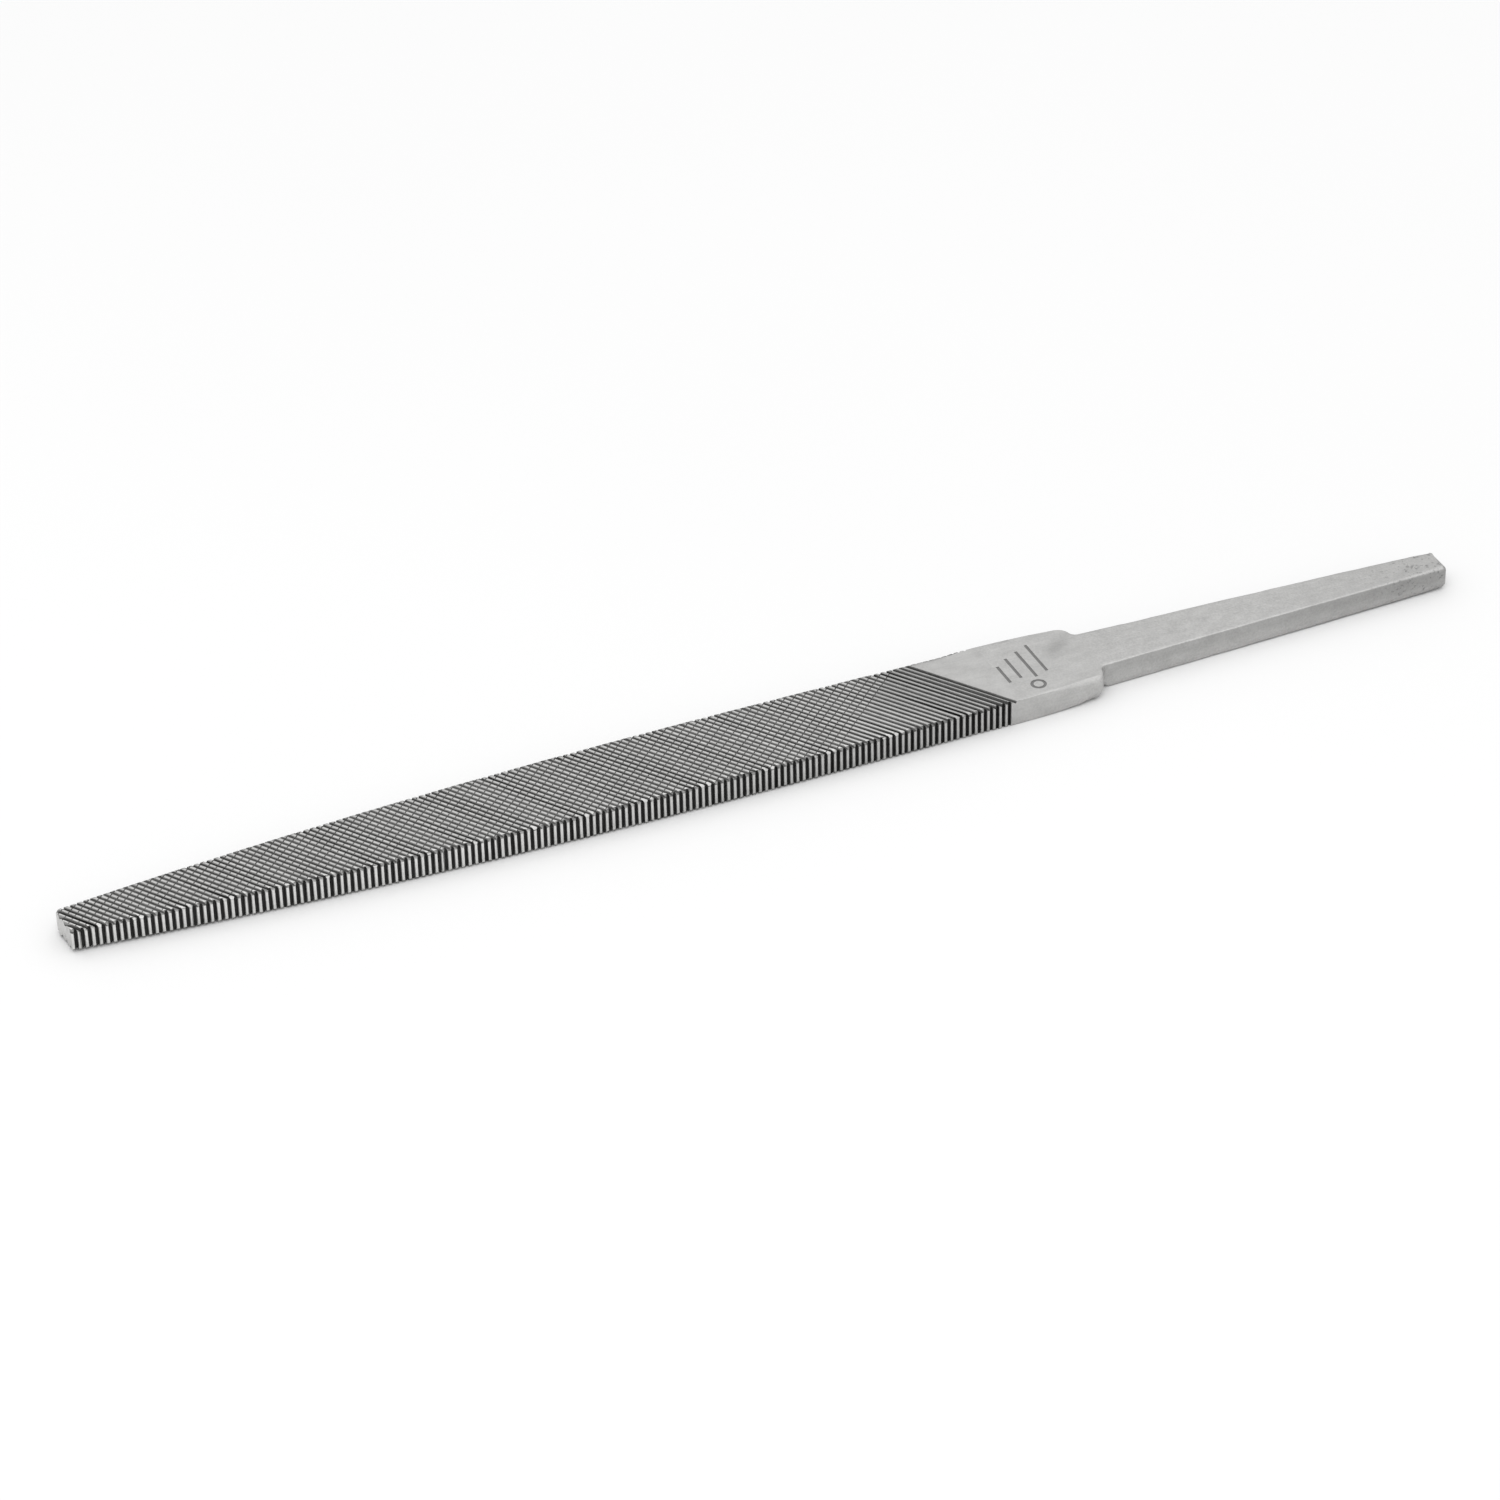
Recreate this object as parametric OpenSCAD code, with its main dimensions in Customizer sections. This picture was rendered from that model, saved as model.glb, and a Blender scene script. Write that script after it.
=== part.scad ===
// A small flat hand file: one forged bar of tool steel with a toothed body,
// a smooth heel and a tapered tang that a handle is driven onto.
// X runs along the file: the point is at -X, the shoulder at X = 0 and the
// tang at +X. Y runs across it, and Z = 0 is the middle of its thickness.

/* [Body] */
// Length of the body, from the point to the shoulder
body_len = 100.3; // [80:0.1:150]
// Greatest width of the body, over the edge teeth
body_w = 10.4; // [9.6:0.1:13]
// Thickness of the body where it is parallel
body_t = 2.6; // [2.4:0.1:4]
// Width at the point
point_w = 3.8; // [3:0.1:6]
// Thickness at the point
point_t = 2.3; // [1.8:0.1:2.4]
// How far the point's corner on the near side stands back from the far one
point_skew = 0.3; // [0:0.05:0.6]
// Distance from the shoulder to the widest station
belly_at = 38; // [30:1:45]
// Distance from the shoulder at which the thickness starts to ease
ease_at = 60; // [46:1:70]

/* [Heel] */
// Length of the smooth heel
heel_len = 9.5; // [8:0.1:10]
// Width of the heel at the shoulder
heel_w = 9.4; // [8.6:0.1:9.6]
// Radius of the rounded corner of the shoulder
shoulder_r = 1.3; // [0.8:0.1:1.6]
// Angle by which the back of the shoulder slopes
shoulder_slope = 12; // [5:1:20]

/* [Tang] */
// Length of the tang, from the shoulder to its end
tang_len = 37.5; // [30:0.5:45]
// Width of the tang at the shoulder
tang_w = 5.9; // [5:0.1:6.2]
// Width of the tang at its end
tang_end_w = 3.2; // [2.4:0.1:4]
// Thickness of the tang at its end
tang_end_t = 2.3; // [1.8:0.1:2.4]
// Radius in the corner between the shoulder and the tang
root_r = 0.7; // [0.4:0.1:0.8]
// Size of the blunt corners at the end of the tang
tang_end_c = 0.5; // [0.2:0.1:0.8]

/* [Cut] */
// Pitch of the single cut on the narrow edges
edge_pitch = 0.6225; // [0.6:0.0025:1]
// Depth of the edge cut
edge_depth = 0.24; // [0.15:0.01:0.3]
// Distance from the shoulder to the last edge cut
edge_start = 10.62; // [10.5:0.01:12]
// Pitch of the rows on the wide faces, measured across the rows
row_pitch = 0.5735; // [0.55:0.0005:1]
// Depth of the rows
row_depth = 0.2; // [0.12:0.01:0.25]
// Angle between the rows and the length of the file
row_angle = 56; // [54:1:70]
// Distance from the shoulder to the last row, on the centre line
row_start = 13.4; // [13.4:0.1:16]

/* [Hidden] */

edge_groove = 0.5 * edge_pitch; // width of an edge cut at its mouth
row_groove = 0.7 * row_pitch;   // width of a row's gullet at its mouth
lean = 0.3;                     // share of a cut's width that its bottom leans to the heel
point_land = 0.3;               // least plain steel between the point and the first edge cut
corner_x = 0.45;                // how far the shoulder's corner stands back from X = 0
corner_steps = 8;               // flats in each rounded corner of the outline

edge_cuts = floor((body_len - point_skew - point_land - edge_start) / edge_pitch) + 1;
row_last = -row_start * sin(row_angle);
row_run = (body_len + body_w) * sin(row_angle);
row_count = floor((row_run + row_last) / row_pitch);

// Half of the body's width on the curve from the point to the shoulder
function curve_w(x) =
    x < -belly_at
        ? body_w / 2 - (body_w - point_w) / 2 * pow((x + belly_at) / (body_len - belly_at), 2)
        : body_w / 2 - (body_w - heel_w) / 2 * pow((x + belly_at) / belly_at, 2);

// Half of the body's thickness on the curve that eases it to the point
function curve_t(x) =
    x < -ease_at
        ? body_t / 2 - (body_t - point_t) / 2 * pow((x + ease_at) / (body_len - ease_at), 2)
        : body_t / 2;

// The body runs straight between its stations, so that both curves are made of
// flats and every tooth of one flat stands at the same straight edge
stations = concat(
    [for (i = [0:2]) -body_len + i * (body_len - ease_at) / 3],
    [-ease_at, -(ease_at + belly_at) / 2, -belly_at, -belly_at / 2, 0]
);
widths = [for (x = stations) [x, curve_w(x)]];
thicknesses = [for (x = stations) [x, curve_t(x)]];

// Half of the body's width at x
function half_w(x) = lookup(x, widths);

// Half of the body's thickness at x
function half_t(x) = lookup(x, thicknesses);

// How far out the lips of the cuts stand, along an edge and across the rows
edge_lip = function (x) half_w(x);
row_lip = function (s) half_t(s / sin(row_angle));

// Points along an arc of radius r about the centre c, from angle a to angle b
function arc(c, r, a, b) =
    [for (i = [0:corner_steps])
        let (t = a + (b - a) * i / corner_steps)
        c + r * [cos(t), sin(t)]];

// The other side of an outline, from its last point back to its first
function mirrored(pts) = [for (i = [len(pts) - 1:-1:0]) [pts[i].x, -pts[i].y]];

// One notch of a cut centred on s, whose lips stand at the height that lip gives
function notch(s, lip, width, depth) = [
    [s + width / 2, lip(s + width / 2)],
    [s + lean * width, lip(s) - depth],
    [s - width / 2, lip(s - width / 2)]
];

// One side of the toothed body in plan, from the heel to a corner of the point
// that stands back by the given distance
function toothed_side(back) = concat(
    [[-heel_len, half_w(-heel_len)]],
    [for (i = [0:edge_cuts - 1])
        each notch(-edge_start - i * edge_pitch, edge_lip, edge_groove, edge_depth)],
    [[back - body_len, half_w(back - body_len)]]
);

// One side of the smooth bar in plan, from the heel's start to the tang's end
function smooth_side() =
    let (
        corner = [-corner_x - shoulder_r, half_w(-corner_x - shoulder_r) - shoulder_r],
        back = [cos(shoulder_slope), sin(shoulder_slope)],
        root_y = tang_w / 2 + root_r,
        root = [(corner * back + shoulder_r + root_r - root_y * back.y) / back.x, root_y]
    )
    concat(
        [[-heel_len, half_w(-heel_len)]],
        arc(corner, shoulder_r, 90, shoulder_slope),
        arc(root, root_r, 180 + shoulder_slope, 270),
        [[tang_len - tang_end_c, tang_end_w / 2], [tang_len, tang_end_w / 2 - tang_end_c]]
    );

// The rows seen end on, and all the steel below them. The first coordinate is
// measured across the rows, and the lips follow the easing thickness.
function row_profile() = concat(
    [[row_run, body_t / 2]],
    [for (i = [0:row_count])
        each notch(row_last - i * row_pitch, row_lip, row_groove, row_depth)],
    [[-2 * row_run, point_t / 2], [-2 * row_run, -body_t], [row_run, -body_t]]
);

module toothed_face() {
    rotate([0, 0, 90 - row_angle])
        rotate([90, 0, 0])
            linear_extrude(height = 2 * body_len, center = true)
                polygon(row_profile());
}

module smooth_bar() {
    side = [[-body_len, body_t / 2], [0, body_t / 2], [tang_len, tang_end_t / 2]];
    intersection() {
        translate([0, 0, -body_t])
            linear_extrude(height = 2 * body_t)
                polygon(concat(smooth_side(), mirrored(smooth_side())));
        rotate([90, 0, 0])
            linear_extrude(height = 2 * body_w, center = true)
                polygon(concat(side, mirrored(side)));
    }
}

// The toothed body: rows on both wide faces and a single cut on both edges
module blade() {
    color([0.52, 0.52, 0.51])
        intersection() {
            translate([0, 0, -body_t])
                linear_extrude(height = 2 * body_t)
                    polygon(concat(toothed_side(0), mirrored(toothed_side(point_skew))));
            toothed_face();
            rotate([180, 0, 0])
                toothed_face();
        }
}

// The smooth ground stretch between the last cut and the shoulder
module heel() {
    color([0.76, 0.76, 0.75])
        intersection() {
            smooth_bar();
            translate([-body_len, -body_w, -body_t])
                cube([body_len, 2 * body_w, 2 * body_t]);
        }
}

// The tapered spike that a handle is driven onto
module tang() {
    color([0.66, 0.66, 0.65])
        intersection() {
            smooth_bar();
            translate([0, -body_w, -body_t])
                cube([2 * tang_len, 2 * body_w, 2 * body_t]);
        }
}

blade();
heel();
tang();
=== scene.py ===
"""A small flat hand file: a double-cut blade, a smooth heel and a tapered tang, one bar of steel.

X runs along the file, from the point to the tang's end, with the shoulder at X = 0.
Shapes are worked out in millimetres and scaled to metres when each mesh is finished.
"""

import bisect
import math
import random

import bmesh
import bpy
from mathutils import Matrix, Vector, noise


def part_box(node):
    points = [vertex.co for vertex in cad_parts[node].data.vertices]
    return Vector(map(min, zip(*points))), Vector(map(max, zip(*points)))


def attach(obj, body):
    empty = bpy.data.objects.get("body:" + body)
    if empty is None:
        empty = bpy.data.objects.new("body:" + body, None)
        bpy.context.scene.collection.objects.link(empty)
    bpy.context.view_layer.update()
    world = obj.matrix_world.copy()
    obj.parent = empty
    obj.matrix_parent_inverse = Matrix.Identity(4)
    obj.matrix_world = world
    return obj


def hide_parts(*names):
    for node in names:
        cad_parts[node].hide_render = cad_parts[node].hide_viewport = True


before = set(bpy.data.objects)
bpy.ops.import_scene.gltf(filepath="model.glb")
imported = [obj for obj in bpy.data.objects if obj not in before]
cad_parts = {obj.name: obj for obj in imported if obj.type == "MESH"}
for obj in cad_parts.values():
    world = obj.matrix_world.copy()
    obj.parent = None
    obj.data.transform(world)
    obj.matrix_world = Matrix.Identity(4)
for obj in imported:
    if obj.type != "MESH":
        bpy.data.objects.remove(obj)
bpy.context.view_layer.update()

MM = 0.001
SEED = 11  # of every random draw

# ---------------------------------------------------------------- sizes, in millimetres

blade_lo, blade_hi = (Vector(corner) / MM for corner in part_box("blade"))
tang_hi = Vector(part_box("tang")[1]) / MM

POINT_X = blade_lo.x  # the point
HEEL_X = blade_hi.x  # where the blade ends and the heel starts
TANG_END_X = tang_hi.x
HALF_W = blade_hi.y  # half the greatest width
HALF_T = blade_hi.z  # half the parallel thickness
FLOOR_Z = blade_lo.z

# the plan and side outlines, as in the CAD
POINT_HALF_W = 1.9
POINT_SKEW = 0.3  # how far the near corner of the point stands back from the far one
POINT_ROUND = 0.32  # how much of the point's far corner is broken off
POINT_HALF_T = 1.15
HEEL_HALF_W = 4.7  # at the shoulder
BELLY_X = -38.0  # the widest station
EASE_X = -60.0  # where the thickness starts to ease
SHOULDER_R = 1.3
SHOULDER_SLOPE = math.radians(12)
CORNER_X = -0.3  # how far out the circle of the shoulder's corner reaches
ROOT_R = 0.7  # in the corner between the shoulder and the tang
ROOT_GAP = 0.15  # from the end of that corner to the tang's next station
TANG_HALF_W = 2.95
TANG_END_HALF_W = 1.6
TANG_END_HALF_T = 1.15
TANG_END_RADII = (0.18, 0.5)  # the far and the near corner of the tang's end

# the easing of the long corners: how far it goes across and down
LONG_EASE = 0.08  # on steel that is ground and not cut
CUT_EASE = (0.7, 0.3)  # where the cutting rounds the blade's corners over
CUT_EASE_RANGE = (HEEL_X - 1.0, HEEL_X - 4.5)
SHOULDER_EASES = (0.2, 0.36, 0.4, 0.45)  # the far top, far low, near low and near top corners
TANG_EASES = (0.13, 0.13, 0.17, 0.17)
BACK_SHARPER = 0.72  # the share that the shoulder's back loses again
WORN_EASE = 0.12  # what wear adds towards the tang's end
TANG_TIP_EASE = 0.2  # and what it adds on the last stretch
HEEL_FLAT = 0.8  # how near the heel's eased corners come to plain chamfers
FORGED_EASE = (0.95, 1.15)  # the near low corner of the shoulder

# how fine the meshes are: columns across, rows down a narrow side, steps round a corner
BLADE_GRID = (1, 1, 5)
BAR_GRID = (26, 6, 6)

# the cut: straight cuts on the narrow edges, and on each wide face the rows and the cut over them
EDGE_PITCH = 0.6225
EDGE_DEPTH = 0.24
EDGE_LAST_X = -10.62
EDGE_CUTS = 144
ROW_PITCH = 0.5735
ROW_DEPTH = 0.2
ROW_ANGLE = math.radians(56)
ROW_LAST_X = -13.4
OVER_PITCH = 0.755
OVER_DEPTH = 0.12
OVER_ANGLE = math.radians(136)
OVER_LAST_X = -23.0

# each cut's width at its mouth and at its floor, how far the floor leans, and its shade: painted
# shade with dark residue
EDGE_PROFILE = {"width": 0.46, "floor": 0.12, "lean": 0.05, "shade": 1.0}
ROW_PROFILE = {"width": 0.46, "floor": 0.09, "lean": 0.08, "shade": 0.8}
OVER_PROFILE = {"width": 0.15, "floor": 0.03, "lean": 0.0, "shade": 0.4}
WALL_BEND = (0.6, 0.22, 0.5)  # where a wall bends, as shares of its run, its depth and its shade

PROUD = 0.05  # how far a cutting body stands outside the steel it cuts
PLACE_SPREAD = 0.012  # how far a cut may lie from its place
DEPTH_SPREAD = (0.85, 1.08)  # the share of its depth that a cut may have
CREST_WEAR = (0.002, 0.01)  # how far a row's crest may stand below the blank
LAST_ROWS = (1.7, 0.6)  # how much deeper the rows are at the point, and over how long a stretch

# the tone of steel, against 1 for the plain ground face
CUT_PAINTED_SHADE_AND_RESIDUE = 0.05  # at the bottom of a cut: painted shade where light does not reach, with some dark residue
CREST_PAINTED_HIGHLIGHT = 1.25  # a painted highlight on the rows' crests
FIRST_ROWS_TONE = 0.95  # on the rows next to the heel
FIRST_ROWS_RANGE = (-16, -24)
EASED_TONE = 0.75  # the share of its tone left where the cutting rounds a long corner over
POINT_TONE = 1.15  # on the point's end face
SIDE_PAINTED_SHADE = 0.98  # painted shade on the heel's narrow sides
POINT_SIDE_PAINTED_LIGHT = 1.42  # painted light on the narrow sides at the point
SIDE_RANGE = (-20, -68)
TANG_SIDE_PAINTED_SHADE = 0.8  # painted shade at the top of the tang's narrow sides
TANG_SIDE_RANGE = (0.6, -0.7)  # the heights between which they pale
WORN_TOP_TONE = 0.93  # the share left on the tang's faces at its end
WORN_SIDE_TONE = 0.9  # and on its narrow sides
WORN_RANGE = (14, 36)

# the hollow that crosses the far corner of the shoulder, and the fall of the face round it
HOLLOW_AT = (-2.2, 2.4)
HOLLOW_TURN = math.radians(-45)
HOLLOW_SIZE = (2.1, 0.85)  # along it and across it
HOLLOW_DEPTH = 0.16
HOLLOW_PAINTED_SHADE = 0.17  # how much painted shade darkens it, where its face tilts away from the light
FALL = 0.022  # for each millimetre towards the far side

# how far forging and grinding leave the steel uneven: noise per millimetre, and its size
BLADE_WANDER = ((1.7, 0.014), (0.45, 0.012))
TANG_WANDER = ((0.33, 0.05), (1.1, 0.018))

# the etched panel on the heel: bars as (x, from y, to y), and a ring
ETCH_DEPTH = 0.03
ETCH_TONE = 0.42
MARK_LINE = 0.3  # how wide its lines are
MARK_BARS = ((-9.05, -1.9, 1.0), (-7.8, -1.6, 1.9), (-6.4, -2.0, 2.6), (-5.1, -1.5, 3.2))
RING_AT = (-6.8, -3.2)
RING_R = 0.62
RING_STEPS = 40

# ---------------------------------------------------------------- light, camera and finish

STEEL_TINT = (1.0, 0.995, 0.98, 1)
STEEL_BRIGHT = 0.49
STEEL_ROUGH = 0.5
# noise textures in metres: the stretch along each axis, the scale and the detail
GRAIN = {"stretch": (0.03, 1, 1), "scale": 4200, "detail": 4}  # grinding lines
SPECKLE = {"stretch": (1, 1, 1), "scale": 5200, "detail": 3}
CLOUD = {"stretch": (0.7, 1, 1), "scale": 900, "detail": 3}
PITS = {"stretch": (1, 1, 1), "scale": 3000, "detail": 2}
CLOUD_AMOUNT = 0.3
PIT_RANGE = (0.58, 0.68)  # the noise levels between which a pit deepens
PIT_STRETCH = (0.026, 0.036)  # the stations between which pits set in, in metres
FLOOR_LEVEL = 0.74
FLOOR_DRIFT = {"stretch": (1, 1, 1), "scale": 9, "detail": 2}
FLOOR_GAP = 0.02  # between the file and the floor, in millimetres
SKY_LOW = 0.55
SKY_HIGH = 1.4
KEY_POWER = 3.0
KEY_SIZE = 0.7
KEY_AT = (-0.35, -0.5, 0.9)
CAMERA_LENS = 125.45
CAMERA_AZIMUTH = math.radians(-22.57)
CAMERA_ELEVATION = math.radians(34.37)
CAMERA_ROLL = math.radians(-1.5)
CAMERA_DISTANCE = 0.4788
CAMERA_TARGET = (-0.0346, 0.0, 0.0)


def half_w(x):
    """Half of the body's width at station x."""
    if x < BELLY_X:
        return HALF_W - (HALF_W - POINT_HALF_W) * ((x - BELLY_X) / (POINT_X - BELLY_X)) ** 2
    return HALF_W - (HALF_W - HEEL_HALF_W) * ((x - BELLY_X) / BELLY_X) ** 2


def half_t(x):
    """Half of the body's thickness at station x."""
    if x < EASE_X:
        eased = (max(x, POINT_X) - EASE_X) / (POINT_X - EASE_X)
        return HALF_T - (HALF_T - POINT_HALF_T) * eased ** 2
    return HALF_T


def smoothstep(a, b, x):
    """From 0 where x is a to 1 where it is b, smoothly."""
    t = min(1.0, max(0.0, (x - a) / (b - a)))
    return t * t * (3 - 2 * t)


def blend(a, b, t):
    """From a where t is 0 to b where it is 1."""
    return a + (b - a) * t


# ---------------------------------------------------------------- mesh helpers


def new_object(name, bm):
    """An object in the scene from a finished bmesh."""
    bmesh.ops.recalc_face_normals(bm, faces=bm.faces)
    mesh = bpy.data.meshes.new(name)
    bm.to_mesh(mesh)
    bm.free()
    piece = bpy.data.objects.new(name, mesh)
    bpy.context.scene.collection.objects.link(piece)
    return piece


def loft(name, rings, last_end=None):
    """A closed solid through rings of equally many points. last_end is the last ring's grid."""
    bm = bmesh.new()
    rows = [[bm.verts.new(p) for p in ring] for ring in rings]
    for a, b in zip(rows, rows[1:]):
        for i in range(len(a)):
            j = (i + 1) % len(a)
            bm.faces.new((a[i], a[j], b[j], b[i]))
    for row, grid in ((rows[0], None), (rows[-1], last_end)):
        if grid is None:
            bm.faces.new(row)
        else:
            close_in_strips(bm, row, *grid)
    return new_object(name, bm)


def close_in_strips(bm, row, columns, side_rows, corner_steps):
    """Closes a ring made by section() with faces from its far side to its near side."""
    side = 2 * corner_steps + side_rows + 1
    far = row[:side]
    bottom = row[side:side + columns - 1]
    near = row[side + columns - 1:2 * side + columns - 1][::-1]
    top = row[2 * side + columns - 1:]
    for m in range(side - 1):
        above = top if m == 0 else []
        below = bottom if m == side - 2 else []
        bm.faces.new([far[m], far[m + 1], *below, near[m + 1], near[m], *above])


def prism(name, outline, low, high, place=Matrix()):
    """A closed prism on an outline in its own XY plane, placed by a matrix."""
    bm = bmesh.new()
    bottom = [bm.verts.new(place @ Vector((u, v, low))) for u, v in outline]
    top = [bm.verts.new(place @ Vector((u, v, high))) for u, v in outline]
    bm.faces.new(bottom)
    bm.faces.new(top)
    for i in range(len(outline)):
        j = (i + 1) % len(outline)
        bm.faces.new((bottom[i], bottom[j], top[j], top[i]))
    return new_object(name, bm)


def carve(body, tools, operation):
    """Cuts the body with each tool in turn, and removes the tools."""
    for tool in tools:
        cut = body.modifiers.new(tool.name, "BOOLEAN")
        cut.operation = operation
        cut.solver = "MANIFOLD"
        cut.object = tool
    bpy.context.view_layer.update()
    evaluated = body.evaluated_get(bpy.context.evaluated_depsgraph_get())
    mesh = bpy.data.meshes.new_from_object(evaluated)
    body.modifiers.clear()
    body.data = mesh
    for tool in tools:
        bpy.data.objects.remove(tool)
    drop_flaps(mesh)


def drop_flaps(mesh):
    """Removes pairs of faces back to back on the same points, which a cut can leave."""
    bm = bmesh.new()
    bm.from_mesh(mesh)
    on_points = {}
    for face in bm.faces:
        on_points.setdefault(frozenset(v.index for v in face.verts), []).append(face)
    flaps = [face for faces in on_points.values() if len(faces) > 1 for face in faces]
    bmesh.ops.delete(bm, geom=flaps, context="FACES")
    bm.to_mesh(mesh)
    bm.free()


def section(far, near, t, eases, columns, side_rows, corner_steps):
    """A ring of points round the bar at one station of its outline.

    far and near give each side's (x, half width, inward normal), t is half the thickness, and
    eases gives (across, down, flat) for the far top, far low, near low and near top corners.
    The corners are ellipses, or chamfers as flat goes to 1.
    """
    arcs = []
    for (sy, sz), (across, down, flat) in zip(((1, 1), (1, -1), (-1, -1), (-1, 1)), eases):
        x, w, inward = far if sy > 0 else near
        arc = []
        for i in range(corner_steps + 1):
            a, share = math.pi / 2 * i / corner_steps, i / corner_steps
            inset = across * blend(1 - math.sin(a), 1 - share, flat)
            drop = down * blend(1 - math.cos(a), share, flat)
            y = w + inward[1] * inset
            arc.append(Vector((x + inward[0] * inset, sy * y, sz * (t - drop))))
        arcs.append(arc if sy * sz > 0 else arc[::-1])
    ring = []
    for k, arc in enumerate(arcs):
        following = arcs[(k + 1) % 4][0]
        steps = side_rows if k % 2 == 0 else columns
        ring += arc + [arc[-1].lerp(following, i / steps) for i in range(1, steps)]
    return ring


# ---------------------------------------------------------------- the blade


def blade_ease(x):
    """(across, down, flat) of the blade's long corners."""
    cut = smoothstep(*CUT_EASE_RANGE, x)
    return *(blend(LONG_EASE, ease, cut) for ease in CUT_EASE), 0.0


def blade_blank():
    """The steel that the teeth are cut into."""
    stations = [POINT_X, POINT_X + POINT_ROUND]
    stations += [POINT_X + i for i in range(1, int(HEEL_X - POINT_X))] + [HEEL_X]
    rings = []
    for x in stations:
        at_point = x == POINT_X
        far = (x, half_w(x) - POINT_ROUND * at_point, (0, -1))
        near = (x + POINT_SKEW * at_point, half_w(x + POINT_SKEW * at_point), (0, -1))
        rings.append(section(far, near, half_t(x), [blade_ease(x)] * 4, *BLADE_GRID))
    return loft("blade_teeth", rings)


class Cut:
    """One set of parallel cuts: its profile, and how much painted shade and residue it carries at
    a point.

    centres run from high to low across the cuts, lip(s) is the height that the teeth stand to,
    and depth(s) is how far the floor lies below it.
    Each cut has a steep wall, a floor that leans towards higher s, and a gentle wall, and both
    walls start more gently than they end, which rounds the teeth.
    """

    def __init__(self, rng, centres, lip, depth, width, floor, lean, shade):
        self.points = []
        self.marks = []
        run, *bend = WALL_BEND
        for s in centres:
            s += rng.uniform(-PLACE_SPREAD, PLACE_SPREAD)
            deep = depth(s) * rng.uniform(*DEPTH_SPREAD)
            top = lip(s)
            high, low = s + lean + floor / 2, s + lean - floor / 2
            for at, level, dark in (
                (s + width / 2, 0, 0),
                (blend(high, s + width / 2, run), *bend),
                (high, 1, 1),
                (low, 1, 1),
                (blend(low, s - width / 2, run), *bend),
                (s - width / 2, 0, 0),
            ):
                self.points.append((at, top - deep * level))
                self.marks.insert(0, (at, dark * shade))

    def shade(self, s):
        """From 0 at the lips to its full shade at the floor."""
        i = bisect.bisect_left(self.marks, (s, 0))
        if i == 0 or i == len(self.marks):
            return 0.0
        (low, a), (high, b) = self.marks[i - 1], self.marks[i]
        return blend(a, b, (s - low) / (high - low))


def across(angle, x, y):
    """A point's place across rows that run at an angle to the length."""
    return x * math.sin(angle) + y * math.cos(angle)


def edge_cut(rng):
    """The straight cuts of one narrow edge."""
    centres = [EDGE_LAST_X - i * EDGE_PITCH for i in range(EDGE_CUTS)]
    return Cut(rng, centres, half_w, lambda s: EDGE_DEPTH, **EDGE_PROFILE)


def edge_cutter(far, near):
    """The plan outline with the straight cuts of both narrow edges."""
    end_x = EDGE_LAST_X - EDGE_CUTS * EDGE_PITCH
    start = [(HEEL_X + 1, HALF_W + 1), (EDGE_LAST_X + 0.4, HALF_W + 1)]
    end = [(end_x, POINT_HALF_W + 1), (POINT_X - 1, POINT_HALF_W + 1)]
    far_side, near_side = (
        start + [(x, y + PROUD * (y > half_w(x) - 0.01)) for x, y in cut.points] + end
        for cut in (far, near)
    )
    outline = far_side + [(x, -y) for x, y in reversed(near_side)]
    return prism("edge_cutter", outline, -2 * HALF_T, 2 * HALF_T)


def face_cut(rng, angle, pitch, last_x, depth, profile):
    """A set of rows on a wide face, drawn square to the rows, and deeper where it ends."""
    run = abs(POINT_X) + 4 * HALF_W
    last = last_x * math.sin(angle)
    centres = [last - i * pitch for i in range(int((run + last) / pitch))]
    corner = across(angle, POINT_X, POINT_HALF_W)
    deeper, stretch = LAST_ROWS
    return Cut(
        rng,
        centres,
        lambda s: half_t(s / math.sin(angle)) - rng.uniform(*CREST_WEAR),
        lambda s: depth * blend(1.0, deeper, smoothstep(corner + stretch, corner, s)),
        **profile,
    )


def face_cutter(name, cut, angle, underside):
    """Everything below one set of rows."""
    run = abs(POINT_X) + 4 * HALF_W
    high = HALF_T + PROUD
    rows = [(cut.points[0][0], high)] + cut.points[1:]
    end = [(-run, POINT_HALF_T), (-run, -2 * HALF_T)]
    outline = [(run, -2 * HALF_T), (run, high)] + rows + end
    place = (
        Matrix.Rotation(math.pi if underside else 0, 4, "X")
        @ Matrix.Rotation(math.pi / 2 - angle, 4, "Z")
        @ Matrix.Rotation(math.pi / 2, 4, "X")
    )
    return prism(name, outline, -run, run, place)


def blade():
    """The blade, with its edges and its wide faces cut."""
    rng = random.Random(SEED)
    piece = blade_blank()
    edges = [edge_cut(rng), edge_cut(rng)]
    tools = [edge_cutter(*edges)]
    faces = []
    for underside in (False, True):
        over = face_cut(rng, OVER_ANGLE, OVER_PITCH, OVER_LAST_X, OVER_DEPTH, OVER_PROFILE)
        rows = face_cut(rng, ROW_ANGLE, ROW_PITCH, ROW_LAST_X, ROW_DEPTH, ROW_PROFILE)
        tools.append(face_cutter("over_cut", over, OVER_ANGLE, underside))
        tools.append(face_cutter("up_cut", rows, ROW_ANGLE, underside))
        faces.append((over, rows))
    carve(piece, tools, "INTERSECT")
    mark_tone(piece, edges, faces)
    roughen(piece)
    return finished(piece, 30)


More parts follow.
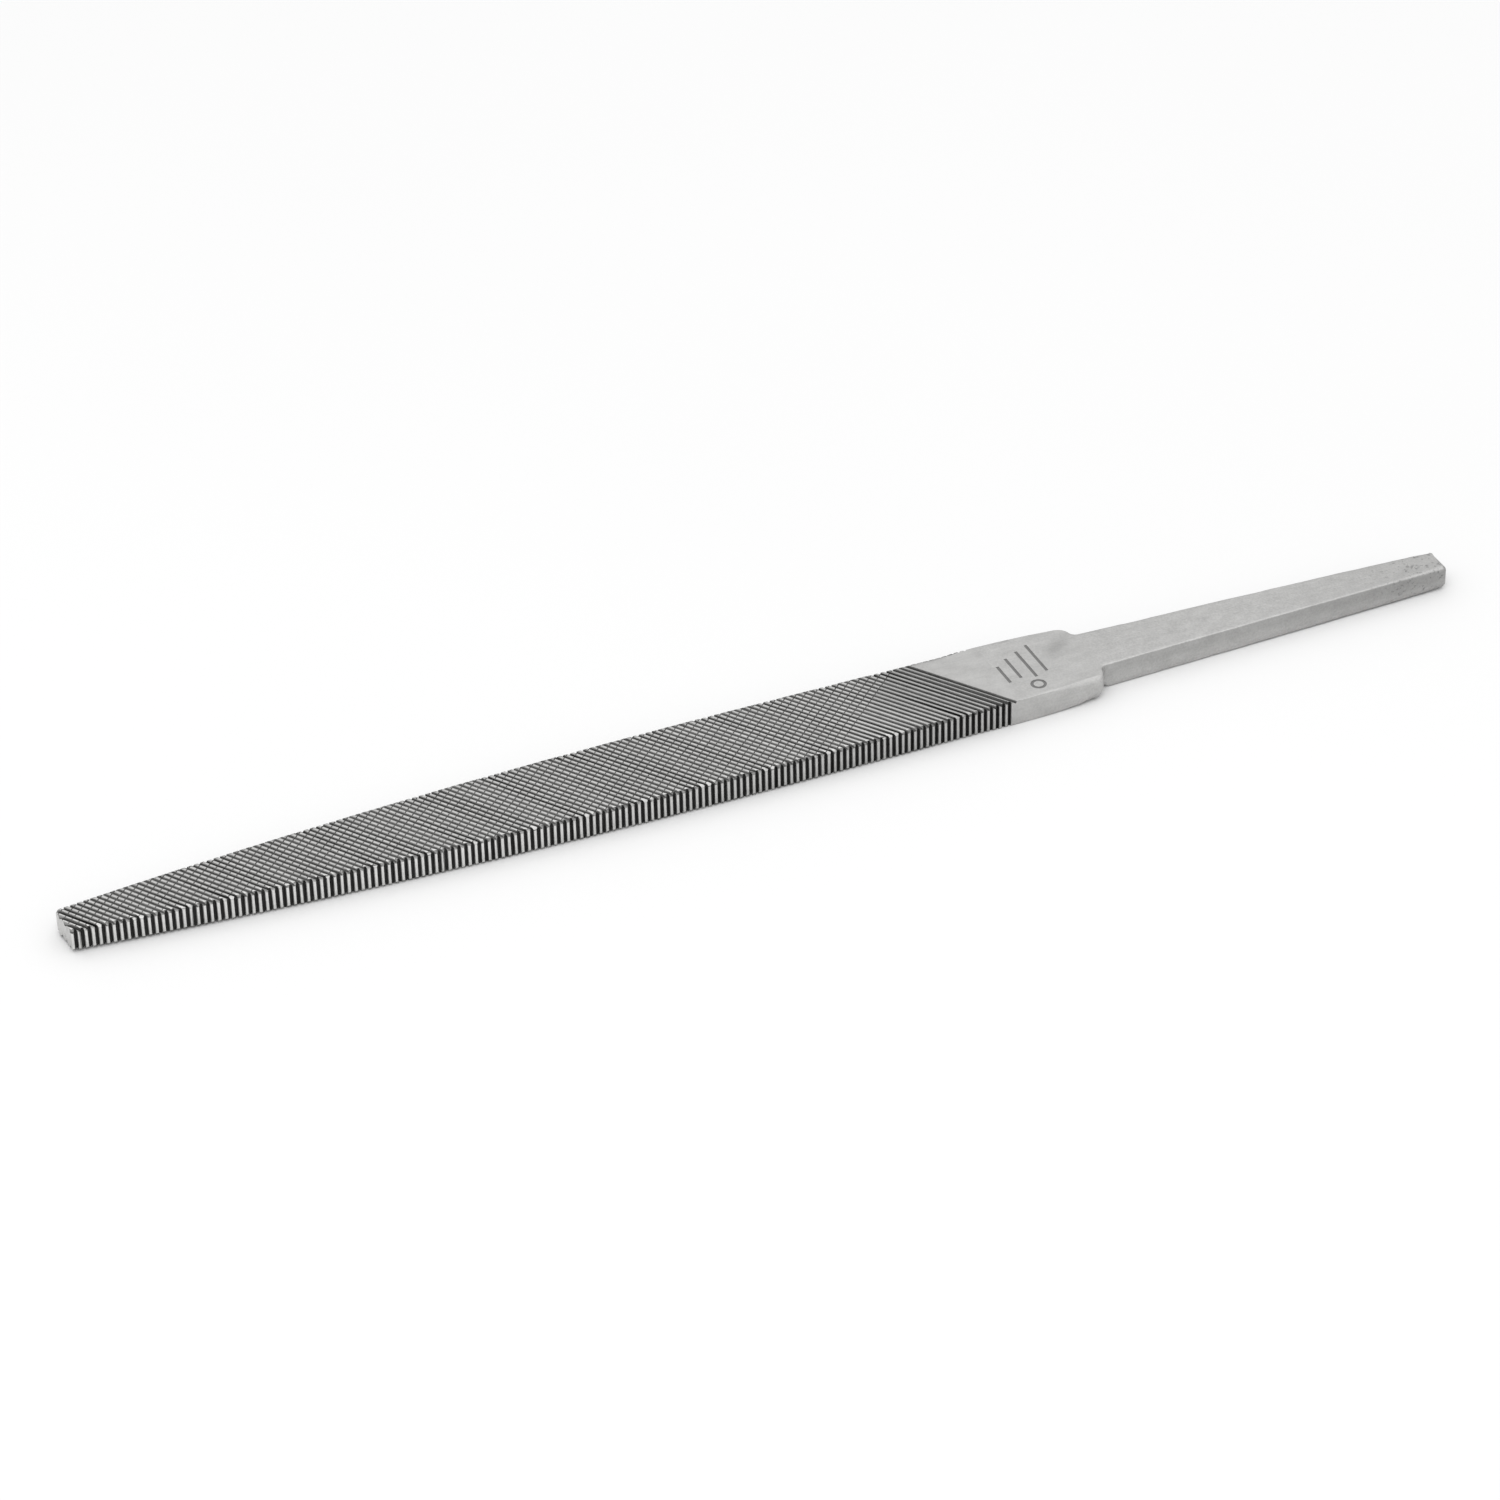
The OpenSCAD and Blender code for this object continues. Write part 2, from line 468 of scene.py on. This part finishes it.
def mark_tone(piece, edges, faces):
    """Stores the tone of each corner of each face: painted shade with dark residue in the cuts,
    the uncut tone, with its painted highlight, on the crests.
    """
    spare, row_spare = 1.3, 1.95  # how much deeper than its set's depth a cut is looked for

    def shade(x, y, z):
        """How much painted shade and residue the cuts give a point."""
        darkest = 0.0
        turned = y if z > 0 else -y
        below, inside = half_t(x) - abs(z), half_w(x) - abs(y)
        over, rows = faces[z < 0]
        if below < row_spare * ROW_DEPTH:
            darkest = rows.shade(across(ROW_ANGLE, x, turned))
        if below < spare * OVER_DEPTH:
            darkest = max(darkest, over.shade(across(OVER_ANGLE, x, turned)))
        if inside < spare * EDGE_DEPTH:
            darkest = max(darkest, edges[y < 0].shade(x))
        return darkest

    mesh = piece.data
    shades = [shade(*v.co) for v in mesh.vertices]
    layer = mesh.attributes.new("tone", "FLOAT", "CORNER")
    for face in mesh.polygons:
        x, y, z = face.center
        at_end = face.normal.x < -0.95 and x < POINT_X + POINT_SKEW
        tone = POINT_TONE if at_end else uncut_tone(x, y, z, face.normal)
        in_cut = not at_end and shade(x, y, z) > 0.02
        for i in face.loop_indices:
            # painted shade, with dark residue, towards the floor of each cut
            dark = in_cut * shades[mesh.loops[i].vertex_index]
            layer.data[i].value = tone * blend(1.0, CUT_PAINTED_SHADE_AND_RESIDUE, dark)


def uncut_tone(x, y, z, normal):
    """The tone of the blade's steel where no cut darkens it: a painted highlight on the rows'
    crests, and painted shade and light on the narrow sides.
    """
    before_rows = across(ROW_ANGLE, x, y if z > 0 else -y) > ROW_LAST_X * math.sin(ROW_ANGLE)
    # painted highlight on the crests, less of it next to the heel
    crests = blend(FIRST_ROWS_TONE, CREST_PAINTED_HIGHLIGHT, smoothstep(*FIRST_ROWS_RANGE, x))
    # painted shade on the narrow sides, turning to painted light at the point
    side = blend(SIDE_PAINTED_SHADE, POINT_SIDE_PAINTED_LIGHT, smoothstep(*SIDE_RANGE, x))
    faces_out = smoothstep(0.75, 0.97, abs(normal.y))
    tone = blend(1.0 if before_rows else crests, side, faces_out)
    leans = smoothstep(0.25, 0.5, abs(normal.y)) * smoothstep(0.25, 0.5, abs(normal.z))
    return tone * blend(1.0, EASED_TONE, leans * smoothstep(0.9, 0.5, half_w(x) - abs(y)))


def roughen(piece):
    """Small unevenness of hand-sized steel teeth, kept inside the blank."""
    (fine, fine_size), (broad, broad_size) = BLADE_WANDER
    noise.seed_set(SEED)  # the vector noise takes its offsets from the clock otherwise
    for v in piece.data.vertices:
        x, y, z = v.co
        if x > HEEL_X - 0.3 or x < POINT_X + 0.05:
            continue
        shift = noise.noise_vector(v.co * fine) * fine_size
        shift += noise.noise_vector(v.co * broad) * broad_size
        w, t = half_w(x), half_t(x)
        v.co.x += shift.x
        v.co.y = max(-w, min(w, y + shift.y))
        v.co.z = max(-t, min(t, z + shift.z))


# ---------------------------------------------------------------- the heel and the tang


def bar_outline(end_r):
    """(x, half width, inward normal) along one side of the smooth bar, from start to end."""
    corner = Vector((CORNER_X - SHOULDER_R, half_w(CORNER_X - SHOULDER_R) - SHOULDER_R))
    back = Vector((math.cos(SHOULDER_SLOPE), math.sin(SHOULDER_SLOPE)))
    root_y = TANG_HALF_W + ROOT_R
    root_x = (corner.dot(back) + SHOULDER_R + ROOT_R - root_y * back.y) / back.x
    stations = []

    def straight(start, end, count):
        for i in range(count):
            x, y = (blend(*ends, i / count) for ends in zip(start, end))
            stations.append((x, y, (0.0, -1.0)))

    def arc(centre, radius, start, end, count, out):
        for i in range(count + 1):
            a = blend(start, end, i / count)
            way = (math.cos(a), math.sin(a))
            x, y = (c + radius * w for c, w in zip(centre, way))
            stations.append((x, y, (-out * way[0], -out * way[1])))

    straight((HEEL_X, half_w(HEEL_X)), (corner.x, corner.y + SHOULDER_R), 22)
    arc(corner, SHOULDER_R, math.pi / 2, SHOULDER_SLOPE, 16, 1)
    arc((root_x, root_y), ROOT_R, math.pi + SHOULDER_SLOPE, 1.5 * math.pi, 16, -1)
    straight((root_x + ROOT_GAP, TANG_HALF_W), (TANG_END_X - end_r, TANG_END_HALF_W), 90)
    arc((TANG_END_X - end_r, TANG_END_HALF_W - end_r), end_r, math.pi / 2, 0, 8, 1)
    return stations


def bar_eases(x):
    """(across, down, flat) of the bar's long corners: far top, far low, near low and near top."""
    bevel = smoothstep(-7.5, -1.6, x) * (1 - BACK_SHARPER * smoothstep(-1.3, -0.5, x))
    flat = HEEL_FLAT * smoothstep(-8, -5, x) * (1 - smoothstep(-1.0, 0.5, x))
    on_tang = smoothstep(0.5, 8, x)
    wear = WORN_EASE * smoothstep(26, 36, x) + TANG_TIP_EASE * smoothstep(35, 37.2, x)
    eases = []
    for at_shoulder, at_tang in zip(SHOULDER_EASES, TANG_EASES):
        ease = LONG_EASE + (at_shoulder - LONG_EASE) * bevel
        ease = blend(ease, at_tang, on_tang) + wear
        eases.append((ease, ease, flat))
    forged = smoothstep(-3.4, -1.0, x) * (1 - smoothstep(-0.1, 0.7, x))
    ease = eases[2][0]
    eases[2] = *(blend(ease, size, forged) for size in FORGED_EASE), flat * (1 - forged)
    return eases


def hollow(x, y):
    """How far a point lies in the shallow hollow that crosses the far corner of the shoulder."""
    from_middle = Vector((x, y)) - Vector(HOLLOW_AT)
    along, off = Matrix.Rotation(HOLLOW_TURN, 2) @ from_middle
    length, width = HOLLOW_SIZE
    return math.exp(-((along / length) ** 2) - (off / width) ** 2)


def relief(x, y):
    """How far the upper face of the heel and tang lies below flat."""
    near_shoulder = smoothstep(-5.0, -1.0, x) * (1 - smoothstep(6, 16, x))
    return HOLLOW_DEPTH * hollow(x, y) + FALL * max(0.0, y + 0.4) * near_shoulder


def bar_half_t(x):
    """Half of the smooth bar's thickness at station x."""
    return blend(HALF_T, TANG_END_HALF_T, max(0.0, x) / TANG_END_X)


def smooth_bar():
    """The heel and the tang in one solid, with the unevenness that forging and grinding leave."""
    rings = []
    for far, near in zip(*(bar_outline(end_r) for end_r in TANG_END_RADII)):
        x = near[0]
        rings.append(section(far, near, bar_half_t(x), bar_eases(x), *BAR_GRID))
    bar = loft("bar", rings, BAR_GRID)
    for v in bar.data.vertices:
        x, y, z = v.co
        forged = smoothstep(0, 6, x) * (1 - smoothstep(TANG_END_X - 0.4, TANG_END_X, x))
        wander = sum(noise.noise(v.co * scale) * size for scale, size in TANG_WANDER)
        if z > HALF_T * 0.75:
            v.co.z -= relief(x, y) * smoothstep(HALF_T * 0.7, HALF_T, z)
        if abs(y) > 0.9:
            v.co.y -= math.copysign(forged * abs(wander), y)
        v.co.z -= math.copysign(forged * abs(wander) * 0.4, z)
    return bar


def halved(bar, name, keep_high):
    """A copy of the bar cut at the shoulder plane and closed there."""
    bm = bmesh.new()
    bm.from_mesh(bar.data)
    cut = bmesh.ops.bisect_plane(
        bm, geom=bm.verts[:] + bm.edges[:] + bm.faces[:], plane_co=(0, 0, 0), plane_no=(1, 0, 0),
        clear_outer=not keep_high, clear_inner=keep_high,
    )
    rim = [e for e in cut["geom_cut"] if isinstance(e, bmesh.types.BMEdge)]
    bmesh.ops.contextual_create(bm, geom=rim)
    return new_object(name, bm)


def marking():
    """A plain maker's panel: four thin bars and a ring, standing where they are etched."""
    tools = []
    high, low = HALF_T + 0.1, HALF_T - ETCH_DEPTH
    half = MARK_LINE / 2
    for x, y_from, y_to in MARK_BARS:
        corners = [(x - half, y_from), (x + half, y_from), (x + half, y_to), (x - half, y_to)]
        tools.append(prism("mark", corners, low, high))
    x, y = RING_AT
    turn = [2 * math.pi * i / RING_STEPS for i in range(RING_STEPS)]
    for radius in (RING_R + half, RING_R - half):
        circle = [(x + radius * math.cos(a), y + radius * math.sin(a)) for a in turn]
        tools.append(prism("mark", circle, low, high))
    return tools


def heel(bar):
    """The smooth heel, with its marking etched."""
    piece = halved(bar, "heel_ground", False)
    *bars, outer, inner = marking()
    carve(outer, [inner], "DIFFERENCE")
    carve(piece, bars + [outer], "DIFFERENCE")
    store_tone(piece, heel_tone)
    return finished(piece, 24)


def heel_tone(x, y, z):
    """The heel's tone: dark in the marking, a little painted shade on its narrow sides, and
    painted shade in the hollow.
    """
    if HALF_T - 1.5 * ETCH_DEPTH < z < HALF_T - 0.5 * ETCH_DEPTH and in_marking(x, y):
        return ETCH_TONE
    side = side_share(x, y, half_w(min(x, CORNER_X - SHOULDER_R)), z)
    # painted shade on the narrow sides
    return painted_hollow_shade(x, y, z) * blend(1.0, SIDE_PAINTED_SHADE, side)


def in_marking(x, y):
    """Whether a point lies within the marking's lines."""
    bars = any(abs(x - at) < MARK_LINE and a - 0.1 < y < b + 0.1 for at, a, b in MARK_BARS)
    return bars or math.hypot(x - RING_AT[0], y - RING_AT[1]) < RING_R + MARK_LINE


def tang(bar):
    """The tang."""
    piece = halved(bar, "tang_spike", True)
    store_tone(piece, tang_tone)
    return finished(piece, 24)


def side_share(x, y, w, z):
    """How far a point belongs to the narrow sides, where shade is painted."""
    out = smoothstep(w - 0.32, w - 0.05, abs(y))
    back = smoothstep(-0.75, -0.5, x) * smoothstep(TANG_HALF_W + 0.3, TANG_HALF_W + 0.6, abs(y))
    t = bar_half_t(x)
    ease = bar_eases(x)[3][1]
    return max(out, back) * (1 - smoothstep(t - ease + 0.02, t - 0.4 * ease, abs(z)))


def painted_hollow_shade(x, y, z):
    """Painted shade in the hollow on the upper face, where it tilts away from the light."""
    return 1.0 - HOLLOW_PAINTED_SHADE * hollow(x, y) * smoothstep(0, 0.5 * HALF_T, z)


def tang_tone(x, y, z):
    """The tang's tone: painted shade on its narrow sides, most at their top, and wear darkens it
    all.
    """
    w = blend(TANG_HALF_W, TANG_END_HALF_W, x / TANG_END_X)
    worn = smoothstep(*WORN_RANGE, x)
    # painted shade on the narrow sides, most at their top
    side = blend(TANG_SIDE_PAINTED_SHADE, SIDE_PAINTED_SHADE, smoothstep(*TANG_SIDE_RANGE, z))
    side *= blend(1.0, WORN_SIDE_TONE, worn)
    tone = painted_hollow_shade(x, y, z) * blend(1.0, WORN_TOP_TONE, worn)
    return tone * blend(1.0, side, side_share(x, y, w, z))


def store_tone(piece, measure):
    """Stores the steel's tone at each point of a mesh, for its material to read."""
    layer = piece.data.attributes.new("tone", "FLOAT", "POINT")
    for i, v in enumerate(piece.data.vertices):
        layer.data[i].value = measure(*v.co)


def finished(piece, crease):
    """Smooth shading with creases sharper than so many degrees kept, and the mesh in metres."""
    piece.data.shade_smooth()
    piece.data.set_sharp_from_angle(angle=math.radians(crease))
    piece.data.transform(Matrix.Scale(MM, 4))
    return piece


# ---------------------------------------------------------------- materials


def node(tree, kind, **settings):
    """A new shader node, with its properties and its sockets set by name."""
    made = tree.nodes.new(kind)
    for key, value in settings.items():
        name = key.replace("_", " ").title()
        if name in made.inputs:
            made.inputs[name].default_value = value
        else:
            setattr(made, key, value)
    return made


def maths(tree, operation, a, b):
    """A Math node on two values or sockets, as its output socket."""
    made = tree.nodes.new("ShaderNodeMath")
    made.operation = operation
    for socket, value in zip(made.inputs, (a, b)):
        if isinstance(value, (int, float)):
            socket.default_value = value
        else:
            tree.links.new(value, socket)
    return made.outputs[0]


def noise_at(tree, coords, stretch, scale, detail):
    """A noise texture on coordinates in metres, stretched along each axis."""
    mapping = tree.nodes.new("ShaderNodeMapping")
    mapping.inputs["Scale"].default_value = stretch
    tree.links.new(coords, mapping.inputs["Vector"])
    texture = node(tree, "ShaderNodeTexNoise", scale=scale, detail=detail)
    tree.links.new(mapping.outputs["Vector"], texture.inputs["Vector"])
    return texture.outputs["Fac"]


def ranged(tree, value, low, high, start, end, kind="SMOOTHSTEP"):
    """A Map Range node on a socket, as its output socket."""
    made = tree.nodes.new("ShaderNodeMapRange")
    made.interpolation_type = kind
    tree.links.new(value, made.inputs["Value"])
    limits = {"From Min": low, "From Max": high, "To Min": start, "To Max": end}
    for socket, number in limits.items():
        made.inputs[socket].default_value = number
    return made.outputs["Result"]


def steel(name, grain_amount, speckle_amount, pit_amount, bump):
    """Bare steel: grinding lines along the bar, a fine speckle, and pits where it is worn."""
    material = bpy.data.materials.new(name)
    material.use_nodes = True
    tree = material.node_tree
    shader = tree.nodes["Principled BSDF"]
    shader.inputs["Metallic"].default_value = 1.0
    coords = tree.nodes.new("ShaderNodeTexCoord").outputs["Object"]
    # the tone attribute carries each piece's painted shade and painted highlight, with the cuts'
    # residue, the etching and the wear
    tone = node(tree, "ShaderNodeAttribute", attribute_name="tone").outputs["Fac"]

    grain = maths(tree, "SUBTRACT", noise_at(tree, coords, **GRAIN), 0.5)
    speckle = maths(tree, "SUBTRACT", noise_at(tree, coords, **SPECKLE), 0.5)
    cloud = maths(tree, "SUBTRACT", noise_at(tree, coords, **CLOUD), 0.5)
    pits = ranged(tree, noise_at(tree, coords, **PITS), *PIT_RANGE, 0.0, pit_amount)
    along = tree.nodes.new("ShaderNodeSeparateXYZ")
    tree.links.new(coords, along.inputs[0])
    pits = maths(tree, "MULTIPLY", pits, ranged(tree, along.outputs["X"], *PIT_STRETCH, 0.05, 1.1))

    uneven = maths(tree, "ADD", maths(tree, "MULTIPLY", grain, grain_amount), 1.0)
    uneven = maths(tree, "ADD", maths(tree, "MULTIPLY", speckle, speckle_amount), uneven)
    uneven = maths(tree, "ADD", maths(tree, "MULTIPLY", cloud, CLOUD_AMOUNT), uneven)
    uneven = maths(tree, "SUBTRACT", uneven, pits)
    shine = maths(tree, "MULTIPLY", maths(tree, "MULTIPLY", uneven, tone), STEEL_BRIGHT)
    ramp = tree.nodes.new("ShaderNodeValToRGB")
    ramp.color_ramp.elements[0].color = (0.0, 0.0, 0.0, 1)
    ramp.color_ramp.elements[1].color = STEEL_TINT
    tree.links.new(shine, ramp.inputs["Fac"])
    tree.links.new(ramp.outputs["Color"], shader.inputs["Base Color"])

    rough = maths(tree, "ADD", maths(tree, "MULTIPLY", speckle, 0.22), STEEL_ROUGH)
    rough = maths(tree, "ADD", rough, maths(tree, "MULTIPLY", tone, -0.12))
    tree.links.new(rough, shader.inputs["Roughness"])

    height = maths(tree, "ADD", maths(tree, "MULTIPLY", grain, 0.5), speckle)
    height = maths(tree, "SUBTRACT", height, pits)
    rise = node(tree, "ShaderNodeBump", strength=bump, distance=0.00006)
    tree.links.new(height, rise.inputs["Height"])
    tree.links.new(rise.outputs["Normal"], shader.inputs["Normal"])
    return material


def pale_floor():
    """A wide plain floor just under the file."""
    bpy.ops.mesh.primitive_plane_add(size=6, location=(0, 0, (FLOOR_Z - FLOOR_GAP) * MM))
    plane = bpy.context.object
    plane.name = "floor"
    material = bpy.data.materials.new("pale_floor")
    material.use_nodes = True
    tree = material.node_tree
    shader = tree.nodes["Principled BSDF"]
    coords = tree.nodes.new("ShaderNodeTexCoord").outputs["Object"]
    drift = noise_at(tree, coords, **FLOOR_DRIFT)
    level = maths(tree, "ADD", maths(tree, "MULTIPLY", drift, 0.02), FLOOR_LEVEL)
    tree.links.new(level, shader.inputs["Base Color"])
    shader.inputs["Roughness"].default_value = 0.9
    shader.inputs["Specular IOR Level"].default_value = 0.1
    plane.data.materials.append(material)
    return plane


# ---------------------------------------------------------------- light and camera


def soft_light(name, size, power, at):
    """A square soft light aimed at the middle of the scene."""
    data = bpy.data.lights.new(name, "AREA")
    data.shape = "SQUARE"
    data.size = size
    data.energy = power
    lamp = bpy.data.objects.new(name, data)
    bpy.context.scene.collection.objects.link(lamp)
    lamp.location = at
    lamp.rotation_euler = (-Vector(at)).to_track_quat("-Z", "Y").to_euler()


def studio():
    """A white room, brighter overhead, and one soft key light."""
    world = bpy.data.worlds.new("studio")
    bpy.context.scene.world = world
    world.use_nodes = True
    tree = world.node_tree
    sky = tree.nodes["Background"]
    sky.inputs["Color"].default_value = (1.0, 1.0, 1.0, 1)
    up = tree.nodes.new("ShaderNodeSeparateXYZ")
    tree.links.new(tree.nodes.new("ShaderNodeTexCoord").outputs["Generated"], up.inputs[0])
    level = ranged(tree, up.outputs["Z"], 0.1, 0.9, SKY_LOW, SKY_HIGH, "LINEAR")
    tree.links.new(level, sky.inputs["Strength"])
    soft_light("key", KEY_SIZE, KEY_POWER, KEY_AT)
    bpy.context.scene.view_settings.view_transform = "Standard"


def aim_camera():
    """The camera at the photograph's viewing angle."""
    data = bpy.data.cameras.new("camera")
    data.lens = CAMERA_LENS
    data.sensor_width = 36.0
    data.clip_start = 0.01
    data.clip_end = 50.0
    camera = bpy.data.objects.new("camera", data)
    bpy.context.scene.collection.objects.link(camera)
    turn = (
        Matrix.Rotation(CAMERA_AZIMUTH, 4, "Z")
        @ Matrix.Rotation(math.pi / 2 - CAMERA_ELEVATION, 4, "X")
        @ Matrix.Rotation(CAMERA_ROLL, 4, "Z")
    )
    back = turn.to_3x3() @ Vector((0, 0, CAMERA_DISTANCE))
    camera.matrix_world = Matrix.Translation(Vector(CAMERA_TARGET) + back) @ turn
    bpy.context.scene.camera = camera


# ---------------------------------------------------------------- the scene

smooth = smooth_bar()
parts = {"blade": blade(), "heel": heel(smooth), "tang": tang(smooth)}
bpy.data.objects.remove(smooth)

# each piece's slot, and how strong its grinding lines, speckle, pits and bump are
finishes = {
    "blade": ("cut_steel", 0.12, 0.3, 0.0, 0.2),
    "heel": ("ground_steel", 0.16, 0.4, 0.0, 0.25),
    "tang": ("tang_steel", 0.16, 0.5, 0.34, 0.35),
}
for cad_node, piece in parts.items():
    slot, *amounts = finishes[cad_node]
    piece.data.materials.clear()
    piece.data.materials.append(steel(slot, *amounts))
    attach(piece, "root")
    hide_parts(cad_node)

pale_floor()
studio()
aim_camera()
